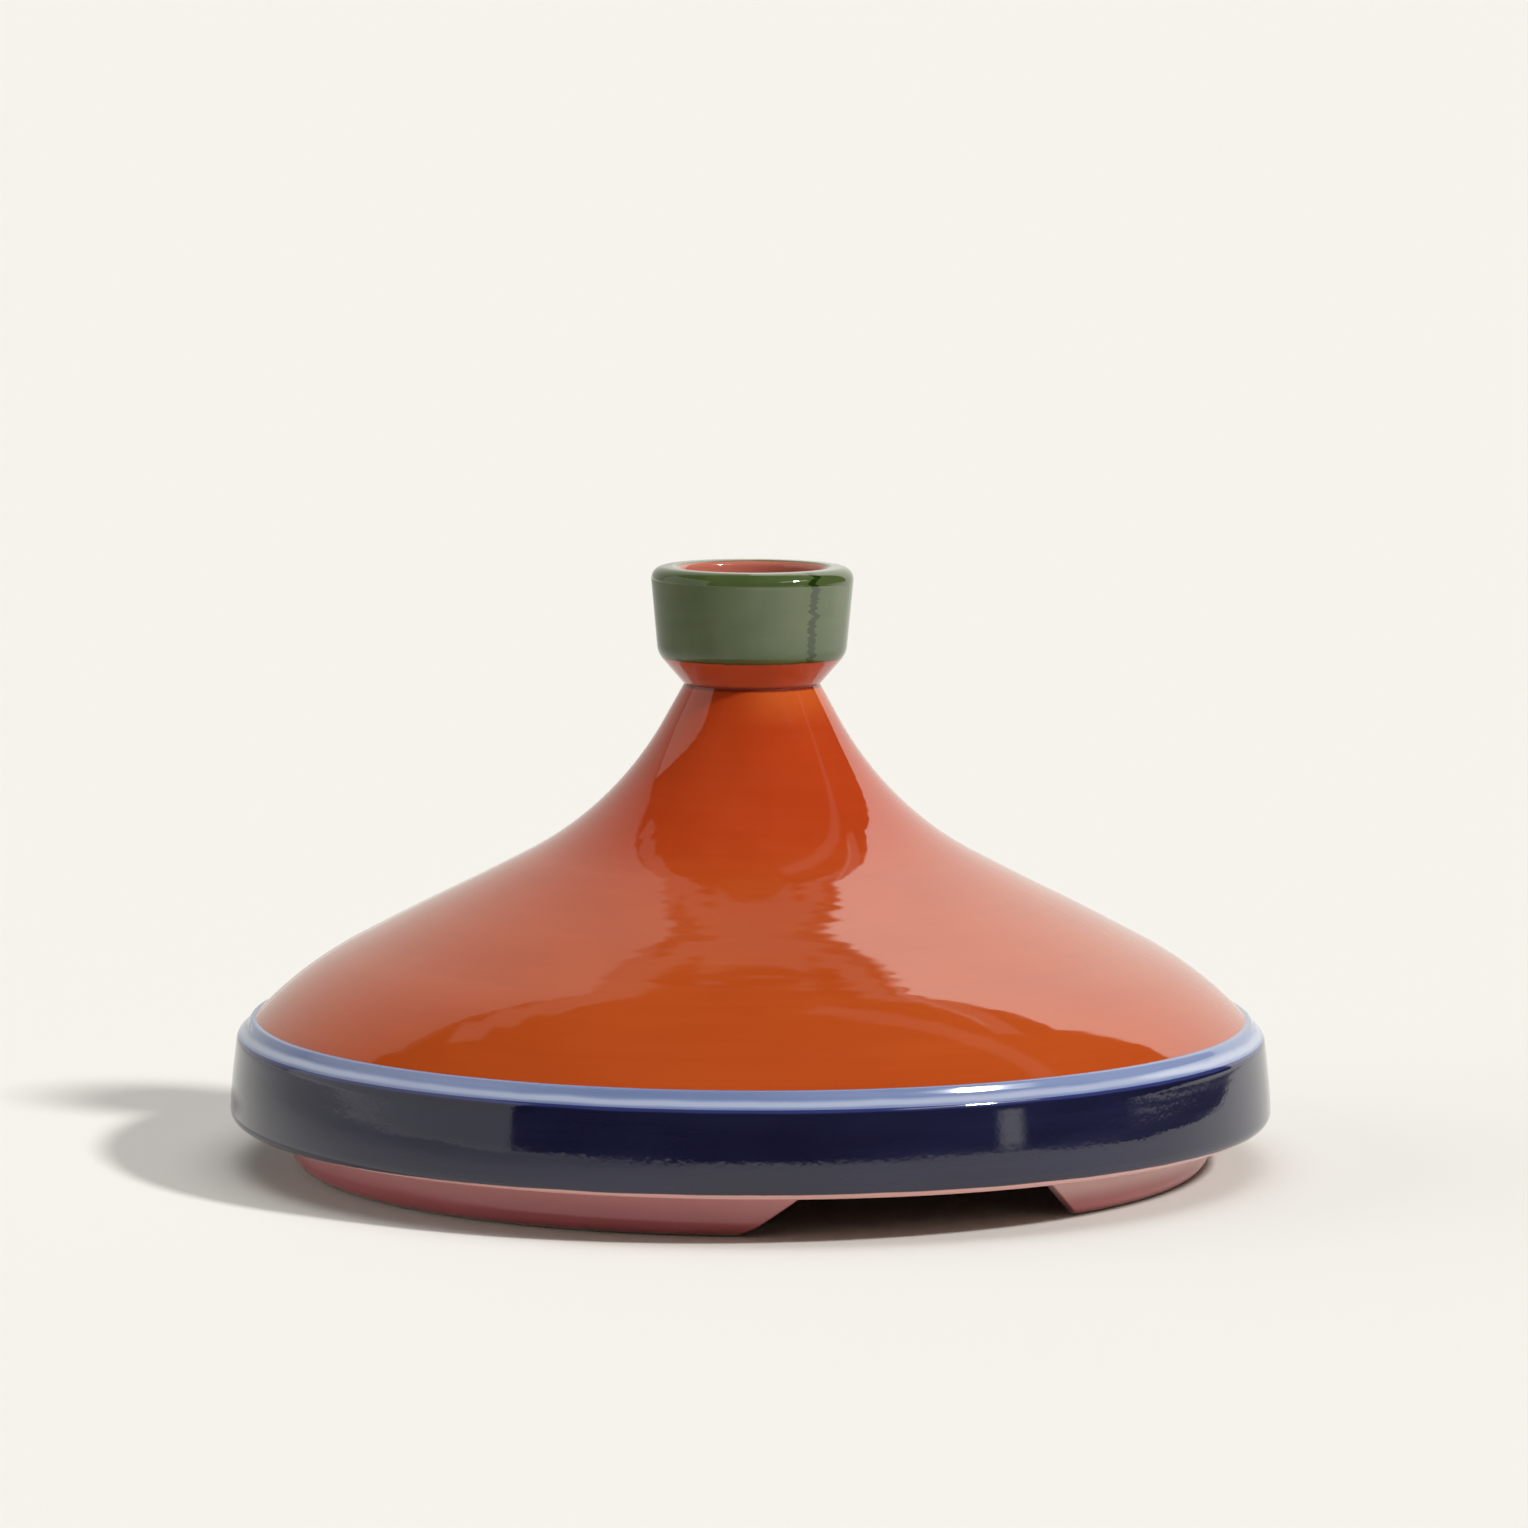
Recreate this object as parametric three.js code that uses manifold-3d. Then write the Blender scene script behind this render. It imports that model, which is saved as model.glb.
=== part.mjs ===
import * as THREE from 'three';
import { mergeVertices } from 'three/addons/utils/BufferGeometryUtils.js';
import Module from 'manifold-3d';

// A glazed stoneware tagine cover: a flared cone with a cup-shaped knob, a stepped rim, and a notched flange
// that drops inside the pan. Millimetres, +Z up, with the origin at the middle of the foot. The sections are
// stacked on flat luted faces, and the notches lie on the Y axis.

// Flange under the rim
const flangeRadius = 126;
const flangeHeight = 13.3;
const flangeWall = 7;
const flangeFootRound = 4.5;
const notchTopWidth = 64;
const notchLean = 48; // degrees from upright, on each side of a notch

// Band and shoulder of the rim
const seatWidth = 17; // from the flange out to the edge of the band
const bandHeight = 22.6;
const bandLean = 1.8; // how far the wall of the band draws in towards its top
const bandFootRound = 2.9;
const shoulderHeight = 4.4;
const shoulderRun = 5.4; // inward run of the sloping shoulder
const edgeRound = 4.1; // where the wall of the band turns into the shoulder

// Cone, from a steep skirt through a straight flank to a steep neck
const coneHeight = 91.4;
const coneWall = 7;
const skirtRun = 11.9;
const skirtSlope = 45.9; // degrees from level
const skirtRound = 101;
const flankSlope = 27.5; // degrees from level
const neckSlope = 61.1; // degrees from level
const neckRound = 93.4;
const neckRadius = 18.6;
const neckWall = 4.7;

// Knob: collar, cup and the floor of the cup
const collarHeight = 7.6;
const collarFlare = 6.6;
const spigotLength = 6;
const spigotWall = 3.2;
const cupHeight = 24.5;
const cupFootRise = 0.7; // the last of the collar's flare, on the cup
const cupFootRound = 4.1;
const cupLean = 2.2; // how far the wall of the cup opens towards its lip
const cupWall = 6;
const lipOuterRound = 3;
const lipInnerRound = 3.5;
const floorThickness = 5.5;

// Fit between round faces, and fineness of the facets
const clearance = 0.3;
const facets = 72;
const arcSteps = 4;
const roundingLimit = 0.95; // the most of a side that one rounding may use up
const cutMargin = 2; // how far a cutting block stands past what it cuts
const weldDistance = 1e-4;

// Heights where one section ends and the next begins
const seatZ = flangeHeight;
const bandTopZ = seatZ + bandHeight;
const coneFootZ = bandTopZ + shoulderHeight;
const neckZ = coneFootZ + coneHeight;
const collarTopZ = neckZ + collarHeight;
const crestZ = collarTopZ + cupHeight;

// Radii that neighbouring sections share
const boreRadius = flangeRadius - flangeWall;
const rimRadius = flangeRadius + seatWidth;
const bandTopRadius = rimRadius - bandLean;
const coneFootRadius = bandTopRadius - shoulderRun;
const lipRadius = boreRadius + coneWall;
const neckBore = neckRadius - neckWall;
const spigotRadius = neckBore - clearance;
const collarBore = spigotRadius - spigotWall;
const collarTopRadius = neckRadius + collarFlare;
const cupFootRadius = collarTopRadius + (cupFootRise * collarFlare) / collarHeight;
const cupTopRadius = cupFootRadius + cupLean;
const wellRadius = cupFootRadius - cupWall;

const tangent = (degrees) => Math.tan(THREE.MathUtils.degToRad(degrees));

// Outline through corners given as [radius, height, rounding]: a rounding is an arc tangent to both sides
function outline(corners) {
  const spots = corners.map(([radius, height]) => new THREE.Vector2(radius, height));
  const sideShare = (i) => (corners[i][2] ? roundingLimit / 2 : roundingLimit);
  return corners.flatMap(([, , rounding], i) => {
    if (!rounding) {
      return [spots[i]];
    }
    const last = (i + spots.length - 1) % spots.length;
    const next = (i + 1) % spots.length;
    const back = spots[last].clone().sub(spots[i]);
    const ahead = spots[next].clone().sub(spots[i]);
    const halfAngle = back.angleTo(ahead) / 2;
    const room = Math.min(back.length() * sideShare(last), ahead.length() * sideShare(next));
    const reach = Math.min(rounding / Math.tan(halfAngle), room);
    const sweep = -Math.sign(back.cross(ahead)) * (Math.PI - 2 * halfAngle);
    const start = spots[i].clone().addScaledVector(back.normalize(), reach);
    const middle = back.add(ahead.normalize()).normalize();
    const centre = spots[i].clone().addScaledVector(middle, reach / Math.cos(halfAngle));
    return Array.from({ length: arcSteps + 1 }, (_, k) => {
      return start.clone().rotateAround(centre, (sweep * k) / arcSteps);
    });
  });
}

// The same curve set off to the left of its direction
function parallel(points, distance) {
  return points.map((point, i) => {
    const before = points[Math.max(i - 1, 0)];
    const after = points[Math.min(i + 1, points.length - 1)];
    const along = after.clone().sub(before).normalize();
    return new THREE.Vector2(point.x - along.y * distance, point.y + along.x * distance);
  });
}

// The point where a curve first passes a radius, on axis x, or a height, on axis y
function crossing(points, axis, value) {
  const found = points.findIndex((point, i) => {
    return i > 0 && (points[i - 1][axis] - value) * (point[axis] - value) <= 0;
  });
  const next = found < 0 ? points.length - 1 : found;
  const before = points[next - 1];
  const after = points[next];
  return before.clone().lerp(after, (value - before[axis]) / (after[axis] - before[axis]));
}

// A section turned about the Z axis from a closed profile, or from one that starts and ends on the axis
function turned(profile) {
  const onAxis = profile[0].x === 0;
  const points = onAxis ? profile : [...profile, profile[0]];
  return new THREE.LatheGeometry(points, facets).rotateX(Math.PI / 2);
}

const wasm = await Module();
wasm.setup();

function solidOf(geometry) {
  const bare = geometry.clone();
  bare.deleteAttribute('normal');
  bare.deleteAttribute('uv');
  const welded = mergeVertices(bare, weldDistance);
  const vertProperties = new Float32Array(welded.attributes.position.array);
  const triVerts = new Uint32Array(welded.index.array);
  return new wasm.Manifold(new wasm.Mesh({ numProp: 3, vertProperties, triVerts }));
}

function geometryOf(solid) {
  const { vertProperties, triVerts } = solid.getMesh();
  const geometry = new THREE.BufferGeometry();
  geometry.setAttribute('position', new THREE.BufferAttribute(vertProperties, 3));
  geometry.setIndex(new THREE.BufferAttribute(triVerts, 1));
  geometry.computeVertexNormals();
  return geometry;
}

// One bar with leaning sides runs right across and cuts both notches
function notchBar() {
  const halfWidthAt = (height) => notchTopWidth / 2 + (seatZ - height) * tangent(notchLean);
  const low = -cutMargin;
  const high = seatZ + cutMargin;
  const section = new THREE.Shape([
    new THREE.Vector2(-halfWidthAt(low), low),
    new THREE.Vector2(halfWidthAt(low), low),
    new THREE.Vector2(halfWidthAt(high), high),
    new THREE.Vector2(-halfWidthAt(high), high),
  ]);
  const depth = 2 * (flangeRadius + cutMargin);
  const bar = new THREE.ExtrudeGeometry(section, { depth, bevelEnabled: false });
  return bar.rotateX(Math.PI / 2).translate(0, depth / 2, 0);
}

// What is left of the flange on one side of the notches, where side is 1 for +X and -1 for -X
function flangeArc(side) {
  const ring = turned(
    outline([
      [boreRadius, 0],
      [flangeRadius, 0, flangeFootRound],
      [flangeRadius, seatZ],
      [boreRadius, seatZ],
    ]),
  );
  const reach = flangeRadius + cutMargin;
  const otherHalf = new THREE.BoxGeometry(reach, 2 * reach, 2 * reach).translate((-side * reach) / 2, 0, 0);
  return geometryOf(solidOf(ring).subtract(solidOf(notchBar())).subtract(solidOf(otherHalf)));
}

// Outside of the rim, from the seat round the foot of the band and over its edge to the foot of the cone
function rimOutside() {
  return outline([
    [flangeRadius + clearance, seatZ],
    [rimRadius, seatZ, bandFootRound],
    [bandTopRadius, bandTopZ, edgeRound],
    [coneFootRadius, coneFootZ],
  ]);
}

function rimBand() {
  const outside = rimOutside();
  return turned([
    new THREE.Vector2(boreRadius, seatZ),
    ...outside.filter((point) => point.y < bandTopZ),
    crossing(outside, 'y', bandTopZ),
    new THREE.Vector2(boreRadius, bandTopZ),
  ]);
}

// The ring lies on the band, around the lip of the cone
function shoulderRing() {
  const outside = rimOutside();
  return turned([
    new THREE.Vector2(lipRadius + clearance, bandTopZ),
    crossing(outside, 'y', bandTopZ),
    ...outside.filter((point) => point.y > bandTopZ),
    new THREE.Vector2(lipRadius + clearance, coneFootZ),
  ]);
}

// The cone stands on the shoulder ring, and its lip goes through the ring down to the band
function coneShell() {
  const skirtTopRadius = coneFootRadius - skirtRun;
  const skirtTopZ = coneFootZ + skirtRun * tangent(skirtSlope);
  const flankAtAxisZ = skirtTopZ + skirtTopRadius * tangent(flankSlope);
  const neckAtAxisZ = neckZ + neckRadius * tangent(neckSlope);
  const flankTopRadius = (neckAtAxisZ - flankAtAxisZ) / (tangent(neckSlope) - tangent(flankSlope));
  const flankTopZ = flankAtAxisZ - flankTopRadius * tangent(flankSlope);
  const outside = outline([
    [coneFootRadius, coneFootZ],
    [skirtTopRadius, skirtTopZ, skirtRound],
    [flankTopRadius, flankTopZ, neckRound],
    [neckRadius, neckZ],
  ]);
  const inside = parallel(outside, coneWall);
  const hollow = inside.filter((point) => point.x < boreRadius && point.x > neckBore);
  return turned([
    new THREE.Vector2(boreRadius, bandTopZ),
    new THREE.Vector2(lipRadius, bandTopZ),
    new THREE.Vector2(lipRadius, coneFootZ),
    ...outside,
    new THREE.Vector2(neckBore, neckZ),
    crossing(inside, 'x', neckBore),
    ...hollow.reverse(),
    crossing(inside, 'x', boreRadius),
  ]);
}

// The collar stands on the neck, and its spigot goes down into the bore of the neck
function knobCollar() {
  return turned(
    outline([
      [collarBore, neckZ - spigotLength],
      [spigotRadius, neckZ - spigotLength],
      [spigotRadius, neckZ],
      [neckRadius, neckZ],
      [collarTopRadius, collarTopZ],
      [collarBore, collarTopZ],
    ]),
  );
}

function knobCup() {
  return turned(
    outline([
      [wellRadius, collarTopZ],
      [collarTopRadius, collarTopZ],
      [cupFootRadius, collarTopZ + cupFootRise, cupFootRound],
      [cupTopRadius, crestZ, lipOuterRound],
      [wellRadius, crestZ, lipInnerRound],
    ]),
  );
}

// The floor lies on the collar, inside the wall of the cup, and closes the neck
function knobFloor() {
  const edge = wellRadius - clearance;
  return turned(
    outline([
      [0, collarTopZ],
      [edge, collarTopZ],
      [edge, collarTopZ + floorThickness],
      [0, collarTopZ + floorThickness],
    ]),
  );
}

const orangeGlaze = { color: 0xb84c1e, roughness: 0.16, metalness: 0 };
const greenGlaze = { color: 0x4f6834, roughness: 0.16, metalness: 0 };
const blueGlaze = { color: 0x7f90c0, roughness: 0.2, metalness: 0 };
const navyGlaze = { color: 0x191b36, roughness: 0.14, metalness: 0 };
const pinkGlaze = { color: 0xb5666a, roughness: 0.3, metalness: 0 };

const cover = new THREE.Group();

function addSection(name, geometry, glaze) {
  const section = new THREE.Mesh(geometry, new THREE.MeshStandardMaterial(glaze));
  section.name = name;
  cover.add(section);
}

addSection('flange_arc_west', flangeArc(-1), pinkGlaze);
addSection('flange_arc_east', flangeArc(1), pinkGlaze);
addSection('rim_band', rimBand(), navyGlaze);
addSection('shoulder_ring', shoulderRing(), blueGlaze);
addSection('cone_shell', coneShell(), orangeGlaze);
addSection('knob_collar', knobCollar(), orangeGlaze);
addSection('knob_cup', knobCup(), greenGlaze);
addSection('knob_floor', knobFloor(), pinkGlaze);

export default cover;
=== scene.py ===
import math

import bmesh
import bpy
from mathutils import Matrix, Vector


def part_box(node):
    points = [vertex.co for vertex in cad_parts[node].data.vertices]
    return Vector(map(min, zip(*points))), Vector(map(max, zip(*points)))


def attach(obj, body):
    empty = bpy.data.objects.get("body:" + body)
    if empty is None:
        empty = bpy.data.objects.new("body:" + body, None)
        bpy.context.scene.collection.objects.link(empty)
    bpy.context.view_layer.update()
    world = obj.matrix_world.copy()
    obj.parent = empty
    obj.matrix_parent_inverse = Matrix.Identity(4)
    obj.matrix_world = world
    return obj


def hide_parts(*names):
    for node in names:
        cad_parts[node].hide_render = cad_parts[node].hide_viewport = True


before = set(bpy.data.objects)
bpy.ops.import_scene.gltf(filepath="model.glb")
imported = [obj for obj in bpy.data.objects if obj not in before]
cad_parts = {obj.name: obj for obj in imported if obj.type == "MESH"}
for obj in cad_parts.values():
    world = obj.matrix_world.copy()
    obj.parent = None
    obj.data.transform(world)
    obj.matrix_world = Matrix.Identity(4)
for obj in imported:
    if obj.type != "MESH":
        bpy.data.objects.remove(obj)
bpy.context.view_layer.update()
scene = bpy.context.scene
mm = 0.001

# where the thrown sections sit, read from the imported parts, in millimetres
bandSag = 0.7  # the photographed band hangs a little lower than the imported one
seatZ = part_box("rim_band")[0].z / mm - bandSag
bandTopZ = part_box("rim_band")[1].z / mm
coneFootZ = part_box("shoulder_ring")[1].z / mm
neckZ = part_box("cone_shell")[1].z / mm
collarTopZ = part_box("knob_collar")[1].z / mm
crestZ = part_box("knob_cup")[1].z / mm
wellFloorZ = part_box("knob_floor")[1].z / mm
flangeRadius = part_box("flange_arc_east")[1].x / mm
print("frame loaded, crest at", round(crestZ, 1), "mm")


# node helpers: a value is a socket to link or a plain setting

def feed(tree, socket, value):
    if isinstance(value, bpy.types.NodeSocket):
        tree.links.new(value, socket)
    else:
        socket.default_value = value


def addNode(tree, kind, inputs=None, **settings):
    node = tree.nodes.new(kind)
    for name, value in settings.items():
        setattr(node, name, value)
    for name, value in (inputs or {}).items():
        feed(tree, node.inputs[name], value)
    return node


def calc(tree, operation, *values):
    node = addNode(tree, "ShaderNodeMath", operation=operation)
    for socket, value in zip(node.inputs, values):
        feed(tree, socket, value)
    return node.outputs[0]


def product(tree, first, *others):
    for other in others:
        first = calc(tree, "MULTIPLY", first, other)
    return first


def remainder(tree, share):
    return calc(tree, "SUBTRACT", 1, share)


def vectorCalc(tree, operation, *values, scale=None):
    node = addNode(tree, "ShaderNodeVectorMath", operation=operation)
    for socket, value in zip(node.inputs, values):
        feed(tree, socket, value)
    if scale is not None:
        feed(tree, node.inputs["Scale"], scale)
    return node.outputs["Value" if operation in ("DOT_PRODUCT", "LENGTH") else "Vector"]


def noiseOf(tree, vector, detail, scale=1.0):
    node = addNode(tree, "ShaderNodeTexNoise", {"Vector": vector, "Scale": scale, "Detail": detail})
    return node.outputs["Fac"]


def swayOf(tree, vector, detail, waver):
    # noise that swings to both sides of nought
    swing = calc(tree, "SUBTRACT", noiseOf(tree, vector, detail), 0.5)
    return product(tree, swing, waver)


def blendColour(tree, share, first, second):
    node = addNode(tree, "ShaderNodeMix", {"Factor": share}, data_type="RGBA")
    feed(tree, node.inputs[6], first)  # the two colour sockets, and the colour that comes out
    feed(tree, node.inputs[7], second)
    return node.outputs[2]


def ramp(tree, value, low, high, toLow=0.0, toHigh=1.0):
    node = addNode(tree, "ShaderNodeMapRange", interpolation_type="SMOOTHSTEP")
    for socket, setting in zip(node.inputs, (value, low, high, toLow, toHigh)):
        feed(tree, socket, setting)
    return node.outputs[0]


def newGroup(name, inputs, outputs):
    group = bpy.data.node_groups.new(name, "ShaderNodeTree")
    for way, sockets in (("INPUT", inputs), ("OUTPUT", outputs)):
        for socketName, kind in sockets:
            group.interface.new_socket(socketName, in_out=way, socket_type="NodeSocket" + kind)
    return group, group.nodes.new("NodeGroupInput").outputs, group.nodes.new("NodeGroupOutput").inputs


def floats(*names):
    return [(name, "Float") for name in names]


def useGroup(tree, group, **inputs):
    node = addNode(tree, "ShaderNodeGroup", node_tree=group)
    for name, value in inputs.items():
        feed(tree, node.inputs[name], value)
    return node.outputs


# camera, at the height, distance and angle of the photograph
view = {
    "frameSize": 1528,  # pixels of the square frame
    "focal": 7325.4,  # pixels
    "axisShift": 12.3,  # pixels from the middle of the frame to the axis of the cone
    "distance": 1994.2,  # millimetres, as the next
    "height": 332.4,
    "azimuth": -22.1,
    "pitch": 6.3806,
    "roll": 0.2,
    "sensor": 36,
    "reach": 900,  # metres
}


def makeCamera():
    camera = bpy.data.cameras.new("camera")
    camera.sensor_width = view["sensor"]
    camera.lens = view["sensor"] * view["focal"] / view["frameSize"]
    camera.shift_x = view["axisShift"] / view["frameSize"]
    camera.clip_end = view["reach"]
    holder = bpy.data.objects.new("camera", camera)
    scene.collection.objects.link(holder)
    turn = Matrix.Rotation(math.radians(view["azimuth"]), 4, "Z")
    stand = Matrix.Translation((0, -view["distance"] * mm, view["height"] * mm))
    tilt = Matrix.Rotation(math.radians(90 - view["pitch"]), 4, "X")
    roll = Matrix.Rotation(math.radians(view["roll"]), 4, "Z")
    holder.matrix_world = turn @ stand @ tilt @ roll
    scene.camera = holder


makeCamera()
print("camera set")


# studio: angles are seen from the cover and counted from the camera to the right
studio = {
    "paper": (0.921, 0.896, 0.839, 1),
    "shineTint": (1, 0.985, 0.91, 1),
    "fill": 1.8,
    "fillFrom": 0.8,  # sines of the elevation
    "fillFull": 0.97,
    "keyAzimuth": 59.5,
    "keyElevation": 38.4,
    "keyPower": 2.3,
    "keySpread": 6,
    "panelSoft": 0.012,  # edge of a panel that doesn't give its own, and its light
    "panelLight": 0.15,
}
# edges of a panel are shares of its distance
# its shine is what the glazes mirror, and its light how many times that falls on the surfaces
panels = {
    "softbox": dict(
        azimuth=56, elevation=38, across=(-0.28, 0.28), up=(-0.05, 0.05), soft=0.03, shine=4, light=0.3,
    ),
    "backWallRight": dict(azimuth=180, across=(-1.06, 0.012), up=(-0.5, 1.62), shine=0.92, rise=0.82),
    "backWallLeft": dict(
        azimuth=180, across=(-0.012, 1.43), up=(-0.5, 1.62), shine=0.8, drift=-0.31, light=0.6,
    ),
    "paperDrop": dict(azimuth=180, across=(-1, 1.5), up=(1.6, 1.72), shine=0.08),
    "paperRoll": dict(azimuth=180, across=(-0.75, 0.75), up=(1.71, 1.84), soft=0.02, shine=0.33),
    "rollCrown": dict(azimuth=180, across=(-0.2, 0.17), up=(1.75, 1.95), soft=0.04, shine=0.33),
    "rollLeft": dict(azimuth=-147, across=(-0.3, 0.1), up=(1.4, 1.72), soft=0.03, shine=0.33),
    "rollBend": dict(azimuth=-138, across=(-0.11, 0.1), up=(1.3, 1.57), soft=0.03, shine=0.33),
    "rollCurl": dict(azimuth=-129, across=(-0.11, 0.07), up=(1.2, 1.42), soft=0.02, shine=0.33),
    "rollRight": dict(azimuth=145, across=(-0.3, 0.28), up=(1.4, 1.61), soft=0.02, shine=0.33),
    "rollEdge": dict(azimuth=145, across=(-0.2, 0.3), up=(1.54, 1.59), soft=0.015, shine=0.75),
    "sideFlat": dict(azimuth=-90, across=(-0.68, 0.75), up=(-0.5, 0.87), shine=0.69, light=1.6),
    "lightBar": dict(azimuth=166, elevation=90, across=(-1.4, 0), up=(-0.46, -0.37), soft=0.02, shine=0.26),
    "card": dict(azimuth=58.5, across=(-0.05, 0.05), up=(0, 0.065), soft=0.03, shine=1.3),
}


def directionOf(azimuth, elevation=0.0):
    turn = math.radians(azimuth + view["azimuth"])
    lift = math.radians(elevation)
    return Vector((math.sin(turn) * math.cos(lift), -math.cos(turn) * math.cos(lift), math.sin(lift)))


def towards(tree, vector, azimuth):
    return vectorCalc(tree, "DOT_PRODUCT", vector, directionOf(azimuth))


def panelGroup():
    inputs = [(name, "Vector") for name in ("Direction", "Facing", "Across", "Up")]
    inputs += floats("Left", "Right", "Low", "High", "Soft", "Level", "Rise", "Drift")
    group, given, result = newGroup("studioPanel", inputs, floats("Light"))

    def along(name):
        return vectorCalc(group, "DOT_PRODUCT", given["Direction"], given[name])

    def within(value, low, high):
        less = calc(group, "MULTIPLY", given["Soft"], -1)
        start = ramp(group, calc(group, "SUBTRACT", value, low), less, given["Soft"])
        end = ramp(group, calc(group, "SUBTRACT", high, value), less, given["Soft"])
        return product(group, start, end)

    depth = along("Facing")
    ahead = calc(group, "GREATER_THAN", depth, 0.001)  # the half of the room that the panel is in
    sideways = calc(group, "DIVIDE", along("Across"), depth)
    upwards = calc(group, "DIVIDE", along("Up"), depth)
    wide = within(sideways, given["Left"], given["Right"])
    tall = within(upwards, given["Low"], given["High"])
    level = calc(group, "MULTIPLY_ADD", upwards, given["Rise"], given["Level"])
    level = calc(group, "MAXIMUM", calc(group, "MULTIPLY_ADD", sideways, given["Drift"], level), 0)
    group.links.new(product(group, wide, tall, ahead, level), result["Light"])
    return group


def makeStudio():
    world = bpy.data.worlds.new("studio")
    scene.world = world
    world.use_nodes = True
    tree = world.node_tree
    tree.nodes.clear()
    direction = addNode(tree, "ShaderNodeTexCoord").outputs["Generated"]
    path = addNode(tree, "ShaderNodeLightPath").outputs
    mirrored = path["Is Glossy Ray"]
    group = panelGroup()
    # the overhead fill lights the glazes but leaves their reflections dark
    upward = addNode(tree, "ShaderNodeSeparateXYZ", {"Vector": direction}).outputs["Z"]
    fill = ramp(tree, upward, studio["fillFrom"], studio["fillFull"], 0.0, studio["fill"])
    level = product(tree, remainder(tree, mirrored), fill)
    for panel in panels.values():
        facing = directionOf(panel["azimuth"], panel.get("elevation", 0))
        across = directionOf(panel["azimuth"] + 90)
        placed = useGroup(
            tree, group, Direction=direction, Facing=facing, Across=across, Up=across.cross(-facing),
            Left=panel["across"][0], Right=panel["across"][1], Low=panel["up"][0], High=panel["up"][1],
            Soft=panel.get("soft", studio["panelSoft"]), Level=panel["shine"],
            Rise=panel.get("rise", 0), Drift=panel.get("drift", 0),
        )
        light = panel.get("light", studio["panelLight"])
        share = calc(tree, "MULTIPLY_ADD", mirrored, 1 - light, light)
        level = calc(tree, "MAXIMUM", product(tree, placed["Light"], share), level)
    tint = blendColour(tree, mirrored, (1, 1, 1, 1), studio["shineTint"])
    light = addNode(tree, "ShaderNodeBackground", {"Color": tint, "Strength": level})
    paper = addNode(tree, "ShaderNodeBackground", {"Color": studio["paper"], "Strength": 1})
    mixed = addNode(tree, "ShaderNodeMixShader")
    tree.links.new(path["Is Camera Ray"], mixed.inputs[0])
    tree.links.new(light.outputs[0], mixed.inputs[1])
    tree.links.new(paper.outputs[0], mixed.inputs[2])
    addNode(tree, "ShaderNodeOutputWorld", {"Surface": mixed.outputs[0]})

    lamp = bpy.data.lights.new("key", "SUN")
    lamp.energy = studio["keyPower"]
    lamp.angle = math.radians(studio["keySpread"])
    key = bpy.data.objects.new("key", lamp)
    scene.collection.objects.link(key)
    key.rotation_mode = "QUATERNION"
    lampSide = directionOf(studio["keyAzimuth"], studio["keyElevation"])
    key.rotation_quaternion = lampSide.to_track_quat("Z", "Y")


# floor, lengths in metres
# painted light and shade on the paper, as if the lamp stood near on the right: it gives back less light on
# the left and glows towards the lamp, for all but camera rays
ground = {
    "size": 400,
    "paintedShade": 0.55,
    "paintedShadeSpan": (-0.05, 0.7),
    "paintedGlow": 1.0,
    "paintedGlowSpan": (0.05, 0.8),
    "evenSpan": (1.2, 2.5),  # the far floor is even again
    "darkReflectionEdge": (0.46, 0.5),  # painted reflection: past it, to the right, the paper is painted dark for low glossy rays, so that the low glaze mirrors a dark room
    "darkReflectionSkew": 1.3,
    "darkReflectionCorner": 0.06,
    "darkReflectionBack": (0.25, 0.45),
    "paintedRoomDark": 0.05,
    "steep": (0.84, 0.87),
}


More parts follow.
